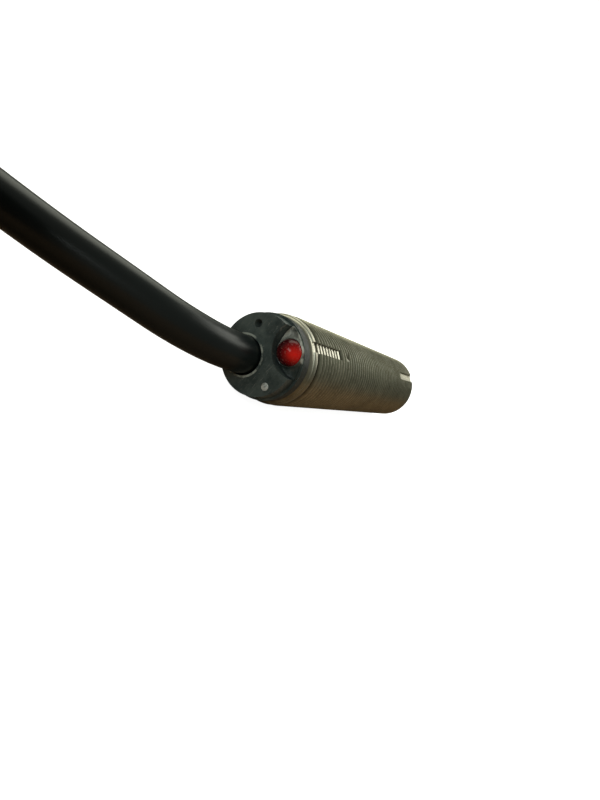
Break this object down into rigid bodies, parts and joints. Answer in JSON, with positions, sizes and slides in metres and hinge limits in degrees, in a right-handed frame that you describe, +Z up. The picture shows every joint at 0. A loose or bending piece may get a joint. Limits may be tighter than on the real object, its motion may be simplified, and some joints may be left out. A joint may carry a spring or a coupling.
{
  "type": "inductive proximity sensor",
  "caption": "Cylindrical inductive proximity sensor: fine-threaded metal barrel, black rear cap with red indicator lens and moulded-in cable, flush sensing face.",
  "frame": {"origin": "on the supporting surface, below the middle of the barrel (bottom centre of the sensor body without its cable)", "axes": "+Y along the barrel from the cable end to the sensing face, +Z up from the surface the sensor lies on, +X to the right as seen from the cable end"},
  "size_m": [0.0626, 0.1547, 0.0252],
  "materials": {
    "nickel_brass": "turned nickel plate over brass, dull olive-grey, worn",
    "black_pbt": "satin moulded, scuffed",
    "red_lens": "glossy translucent red epoxy",
    "grey_resin": "cloudy cast resin",
    "pale_resin": "pale cast resin",
    "brass_shield": "plain",
    "ferrite": "dull sintered",
    "bobbin_plastic": "moulded",
    "copper_wire": "enamelled copper",
    "board_laminate": "glass epoxy",
    "chip_black": "moulded epoxy",
    "tinned_metal": "tinned",
    "ceramic_tan": "ceramic",
    "tantalum_yellow": "moulded",
    "black_pvc": "satin extruded PVC",
    "wire_brown": "PVC insulation",
    "wire_blue": "PVC insulation",
    "wire_black": "PVC insulation",
    "lamp_body": "epoxy",
    "potting": "filled epoxy",
    "tie_black": "nylon strap",
    "tinned_copper": "tinned strands"
  },
  "bodies": {
    "root": {"threaded_barrel": "nickel_brass", "rear_cap": "black_pbt", "indicator_lens": "red_lens", "lens_pocket_resin": "grey_resin", "fill_hole_plug": "pale_resin", "sensing_face_cap": "black_pbt", "shield_ring": "brass_shield", "ferrite_pot_core": "ferrite", "coil_bobbin": "bobbin_plastic", "coil_winding": "copper_wire", "core_holder": "bobbin_plastic", "circuit_board": "board_laminate", "oscillator_chip": "chip_black", "oscillator_chip_legs": "tinned_metal", "output_transistor": "chip_black", "protection_diode": "chip_black", "chip_resistors": "chip_black", "chip_capacitors": "ceramic_tan", "reservoir_capacitor": "tantalum_yellow", "lamp_legs": "tinned_metal", "cable_stub": "black_pvc", "inner_wire_brown": "wire_brown", "inner_wire_blue": "wire_blue", "inner_wire_black": "wire_black", "red_lamp": "lamp_body", "winding_wires": "copper_wire", "cable_crimp_ring": "brass_shield", "potting_resin": "potting", "cable_tube": "black_pvc", "cable_coil": "black_pvc", "coil_tie": "tie_black", "cable_tail": "black_pvc", "flying_wire_brown": "wire_brown", "flying_wire_blue": "wire_blue", "flying_wire_black": "wire_black", "tinned_wire_tips": "tinned_copper"}
  },
  "joints": []
}
